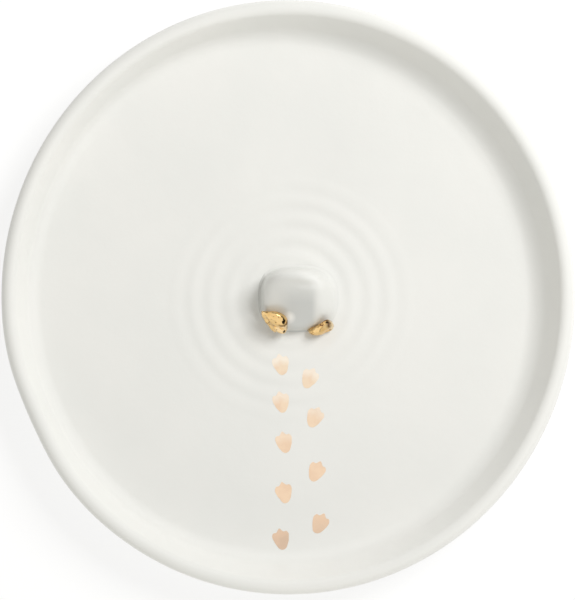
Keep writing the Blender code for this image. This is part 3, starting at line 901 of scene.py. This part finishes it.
def make_glaze(name, tones):
    """Off-white glaze, a little unlevel, with slow clouds between two tones."""
    material, tree, shader = new_material(name)
    cloud = add_clouds(tree, GLAZE_CLOUD_CELLS, GLAZE_CLOUD_BAND)
    tree.links.new(add_mix(tree, cloud, *tones), shader.inputs["Base Color"])
    rough = add_clouds(tree, GLAZE_GLOSS_CELLS, WIDE_BAND, *GLAZE_ROUGHNESS)
    tree.links.new(rough, shader.inputs["Roughness"])
    wave = add_bump(tree, add_noise(tree, GLAZE_WAVE_CELLS, detail=1.0), GLAZE_WAVE_DEPTH)
    peel = add_bump(tree, add_noise(tree, GLAZE_PEEL_CELLS), GLAZE_PEEL_DEPTH, under=wave)
    tree.links.new(peel, shader.inputs["Normal"])
    shader.inputs["IOR"].default_value = GLAZE_IOR
    return material


def make_figure_glaze():
    """The same glaze in greyer tones, as painted shade over the whole figure, with more painted shade on the
    near slope and on the left flank, and a painted highlight in one place beside the left foot."""
    # Greyer tones than the dish's glaze: painted shade over the whole figure
    material = make_glaze("figure_glaze", FIGURE_SHADED_TONES)
    tree = material.node_tree
    shader = tree.nodes["Principled BSDF"]
    plain = shader.inputs["Base Color"].links[0].from_socket
    across, along = add_axes(tree)
    # Painted shade on the near slope: greyer glaze between the left and right edges
    slope = add_range(tree, along, RUMP_Y + SLOPE_SHADE_TOP, RUMP_Y + SLOPE_SHADE_FOOT)
    left = add_range(tree, across, RUMP_X - SLOPE_SHADE_LEFT, RUMP_X - SLOPE_SHADE_FADE)
    right = add_range(tree, across, RUMP_X + SLOPE_SHADE_RIGHT, RUMP_X + SLOPE_SHADE_RIGHT + SLOPE_SHADE_FADE, 1.0, 0.0)
    run = add_product(tree, add_product(tree, slope, right), left)
    colour = add_mix(tree, run, plain, SLOPE_SHADE_TONE)
    # Painted shade on the left flank
    flank = add_range(tree, across, RUMP_X - FLANK_IN, RUMP_X - FLANK_OUT)
    colour = add_mix(tree, flank, colour, FLANK_SHADE_TONE)
    # Painted highlight: whiter glaze in one place beside the left foot
    away = add_vector(tree, "DISTANCE", add_plan(tree), WHITE_HIGHLIGHT_PLACE)
    white_highlight = add_range(tree, away, WHITE_HIGHLIGHT_IN, WHITE_HIGHLIGHT_OUT, 1.0, 0.0)
    colour = add_mix(tree, white_highlight, colour, WHITE_HIGHLIGHT_TONE)
    tree.links.new(colour, shader.inputs["Base Color"])
    return material


def make_bisque():
    """Bare, matt ceramic with a fine grain."""
    material, tree, shader = new_material("bare_ceramic")
    grain = add_noise(tree, BISQUE_CELLS, detail=3.0)
    colour = add_mix(tree, add_range(tree, grain, *WIDE_BAND), *BISQUE_TONES)
    tree.links.new(colour, shader.inputs["Base Color"])
    shader.inputs["Roughness"].default_value = BISQUE_ROUGHNESS
    tree.links.new(add_bump(tree, grain, BISQUE_DEPTH), shader.inputs["Normal"])
    return material


def add_gold_painted_reflection(tree, dark_reflection, colour):
    """A broken brown line of painted dark reflection on part of a circle, with painted highlight beyond it.
    """
    middle, way, half = Vector(dark_reflection["middle"]), Vector(dark_reflection["side"]), dark_reflection["half"]
    plan = add_plan(tree)
    away = add_vector(tree, "DISTANCE", plan, middle.to_3d())
    inner = add_range(tree, away, PAINTED_REFLECTION_RADIUS - half, PAINTED_REFLECTION_RADIUS)
    outer = add_range(tree, away, PAINTED_REFLECTION_RADIUS, PAINTED_REFLECTION_RADIUS + half, 1.0, 0.0)
    beyond = add_range(tree, away, PAINTED_REFLECTION_RADIUS, PAINTED_REFLECTION_RADIUS + half, 0.0, dark_reflection["highlight_share"])
    toward = add_vector(tree, "DOT_PRODUCT", plan, way.to_3d())
    start = middle.dot(way)
    side = add_range(tree, toward, start, start + PAINTED_REFLECTION_RADIUS / 2)
    broken = add_clouds(tree, GOLD_BREAK_CELLS, GOLD_BREAK_BAND, GOLD_BREAK_LEAST)
    # Painted dark reflection on the line, painted highlight beyond it
    line = add_product(tree, add_product(tree, inner, outer), add_product(tree, side, broken))
    colour = add_mix(tree, add_product(tree, beyond, side), colour, GOLD_HIGHLIGHT_TONE)
    return add_mix(tree, line, colour, GOLD_DARK_REFLECTION_TONE)


def make_gold(name):
    """Bright fired gold, a little unlevel, with small dark specks and a painted dark reflection and
    highlight.
    """
    material, tree, shader = new_material("bright_gold_" + name)
    shader.inputs["Metallic"].default_value = 1.0
    cloud = add_clouds(tree, GOLD_CLOUD_CELLS, WIDE_BAND, detail=3.0)
    colour = add_gold_painted_reflection(tree, PAINTED_REFLECTIONS[name], add_mix(tree, cloud, *GOLD_TONES))
    # Small dark brown specks
    specks = add_clouds(tree, GOLD_SPECK_CELLS, GOLD_SPECK_BAND, 1.0, 0.0, detail=0.0)
    colour = add_mix(tree, specks, colour, GOLD_SPECK_TONE)
    tree.links.new(colour, shader.inputs["Base Color"])
    rough = add_clouds(tree, GOLD_GLOSS_CELLS, WIDE_BAND, *GOLD_ROUGHNESS, detail=3.0)
    tree.links.new(rough, shader.inputs["Roughness"])
    dimple = add_bump(tree, add_noise(tree, GOLD_DIMPLE_CELLS, detail=1.0), GOLD_DIMPLE_DEPTH)
    tree.links.new(dimple, shader.inputs["Normal"])
    return material


def make_lustre():
    """Thin rose-gold lustre. Its tone is lighter near the figure than at the start of the trail, and the
    prints near the figure have a painted highlight at their toes."""
    material, tree, shader = new_material("rose_gold_lustre")
    shader.inputs["Metallic"].default_value = LUSTRE_METALLIC
    along = add_axes(tree)[1]
    near = add_range(tree, along, *(FLOOR_EDGE_Y + PRINT_LENGTH * share for share in LUSTRE_START_BAND))
    far = add_range(tree, along, *(FLOOR_EDGE_Y * share for share in LUSTRE_END_BAND))
    colour = add_mix(tree, near, LUSTRE_START_TONE, LUSTRE_TONE)
    colour = add_mix(tree, far, colour, LUSTRE_END_TONE)
    cloud = add_clouds(tree, LUSTRE_CLOUD_CELLS, LUSTRE_CLOUD_BAND, 0.0, LUSTRE_CLOUD_MOST)
    colour = add_mix(tree, cloud, colour, LUSTRE_CLOUD_TONE)
    # Painted highlight at the toes of the prints near the figure
    toeward = tree.nodes.new("ShaderNodeAttribute")
    toeward.attribute_name = "toeward"
    toes = add_range(tree, toeward.outputs["Fac"], *LUSTRE_TOE_HIGHLIGHT_BAND, 0.0, LUSTRE_TOE_HIGHLIGHT_MOST)
    colour = add_mix(tree, add_product(tree, toes, far), colour, LUSTRE_TOE_HIGHLIGHT_TONE)
    tree.links.new(colour, shader.inputs["Base Color"])
    rough = add_clouds(tree, LUSTRE_GLOSS_CELLS, WIDE_BAND, *LUSTRE_ROUGHNESS, detail=3.0)
    tree.links.new(rough, shader.inputs["Roughness"])
    brush = add_bump(tree, add_noise(tree, LUSTRE_BRUSH_CELLS), LUSTRE_BRUSH_DEPTH)
    tree.links.new(brush, shader.inputs["Normal"])
    return material


def make_matt(name, tone, roughness):
    """A surface of the studio, with no gloss."""
    material, tree, shader = new_material(name)
    shader.inputs["Base Color"].default_value = (tone, tone, tone, 1.0)
    shader.inputs["Roughness"].default_value = roughness
    shader.inputs["Specular IOR Level"].default_value = 0.0
    return material, tree, shader


# Studio

def add_light_path_mask(tree):
    """1 for rays from the camera and for reflected or refracted ones, 0 for rays that light the object."""
    path = tree.nodes.new("ShaderNodeLightPath")
    total = path.outputs["Is Camera Ray"]
    for name in ("Is Glossy Ray", "Is Transmission Ray"):
        add = tree.nodes.new("ShaderNodeMath")
        add.operation = "MAXIMUM"
        tree.links.new(total, add.inputs[0])
        tree.links.new(path.outputs[name], add.inputs[1])
        total = add.outputs[0]
    return total


def set_world():
    """Soft sky that lights the shade. The camera and reflections see it white."""
    world = bpy.data.worlds.new("studio_sky")
    bpy.context.scene.world = world
    world.use_nodes = True
    tree = world.node_tree
    background = tree.nodes["Background"]
    mask = add_light_path_mask(tree)
    tree.links.new(add_mix(tree, mask, SHADE_TINT, WHITE), background.inputs["Color"])
    strength = add_range(tree, mask, 0.0, 1.0, SKY_STRENGTH, 1.0)
    tree.links.new(strength, background.inputs["Strength"])


def add_floor():
    """A plain white table. It shows white round the object and keeps the object's shadow."""
    mesh = bpy.data.meshes.new("table")
    low, high = -TABLE_HALF, TABLE_HALF
    corners = [(low, low, 0.0), (high, low, 0.0), (high, high, 0.0), (low, high, 0.0)]
    mesh.from_pydata(corners, [], [(0, 1, 2, 3)])
    floor = bpy.data.objects.new("table", mesh)
    bpy.context.scene.collection.objects.link(floor)
    material, tree, shader = make_matt("table_white", TABLE_TONE, TABLE_ROUGHNESS)
    shader.inputs["Emission Color"].default_value = (*WHITE, 1.0)
    glow = add_range(tree, add_light_path_mask(tree), 0.0, 1.0, TABLE_GLOW, TABLE_SEEN_GLOW)
    tree.links.new(glow, shader.inputs["Emission Strength"])
    mesh.materials.append(material)


def add_dark_card():
    """A dark curved card low at the right, seen only by reflections, as the unlit side of a studio."""
    points = []
    for azimuth in spread(CARD_STEPS + 1, CARD_START, CARD_END):
        for height in (math.tan(CARD_LOW), math.tan(CARD_HIGH)):
            points.append(Vector((math.cos(azimuth), math.sin(azimuth), height)) * CARD_DISTANCE)
    faces = [(2 * step, 2 * step + 1, 2 * step + 3, 2 * step + 2) for step in range(CARD_STEPS)]
    mesh = bpy.data.meshes.new("dark_card")
    mesh.from_pydata(points, [], faces)
    card = bpy.data.objects.new("dark_card", mesh)
    bpy.context.scene.collection.objects.link(card)
    mesh.materials.append(make_matt("card_black", CARD_TONE, CARD_ROUGHNESS)[0])
    card.visible_camera = False
    card.visible_diffuse = False
    card.visible_shadow = False
    card.visible_transmission = False


def add_lamp(name, colour, azimuth, elevation, distance, size, power, lit=None):
    """A square soft lamp that faces the object. One for chosen pieces alone is mirrored in them."""
    lamp = bpy.data.lights.new(name, "AREA")
    lamp.color = colour
    lamp.shape = "SQUARE"
    lamp.size = size
    lamp.energy = power
    light = bpy.data.objects.new(name, lamp)
    light.visible_glossy = lit is not None
    if lit is not None:
        light.light_linking.receiver_collection = bpy.data.collections.new(name + "_lights")
        for piece in lit:
            light.light_linking.receiver_collection.objects.link(piece)
    bpy.context.scene.collection.objects.link(light)
    toward = direction(math.radians(azimuth), math.radians(elevation))
    light.location = toward * distance
    light.rotation_euler = toward.to_track_quat("Z", "Y").to_euler()


def add_camera():
    """A camera over the dish that frames it as the photograph does."""
    camera = bpy.data.cameras.new("camera")
    camera.sensor_width = SENSOR_MM
    camera.lens = SENSOR_MM * CAMERA_DISTANCE / (PHOTO_HEIGHT * PIXEL)
    viewer = bpy.data.objects.new("camera", camera)
    bpy.context.scene.collection.objects.link(viewer)
    viewer.location = (CAMERA_X, CAMERA_Y, RIM_HEIGHT + CAMERA_DISTANCE)
    bpy.context.scene.camera = viewer


def build_object():
    """Every piece of the dish. Gives the gold feet, which have a lamp of their own."""
    build_dish(make_glaze("white_glaze", GLAZE_TONES), make_bisque())
    build_rump(make_figure_glaze())
    feet = [build_foot(name, foot) for name, foot in FEET.items()]
    lustre = make_lustre()
    noise.seed_set(PRINT_WOBBLE_SEED)
    for number, shares in enumerate(LEFT_HEEL_SHARES, 1):
        build_print(f"left_print_{number}", shares, LEFT_TURN, lustre)
    for number, shares in enumerate(RIGHT_HEEL_SHARES, 1):
        build_print(f"right_print_{number}", shares, RIGHT_TURN, lustre)
    return feet


gold_pieces = build_object()
add_camera()
set_world()
add_floor()
add_dark_card()
add_lamp("key_softbox", WHITE, **KEY_LAMP)
add_lamp("glint", WHITE, **GLINT_LAMP, lit=gold_pieces)
add_lamp("low_fill", SHADE_TINT, **LOW_LAMP)
add_lamp("side_fill", SHADE_TINT, **SIDE_LAMP)
bpy.context.scene.view_settings.view_transform = "Standard"
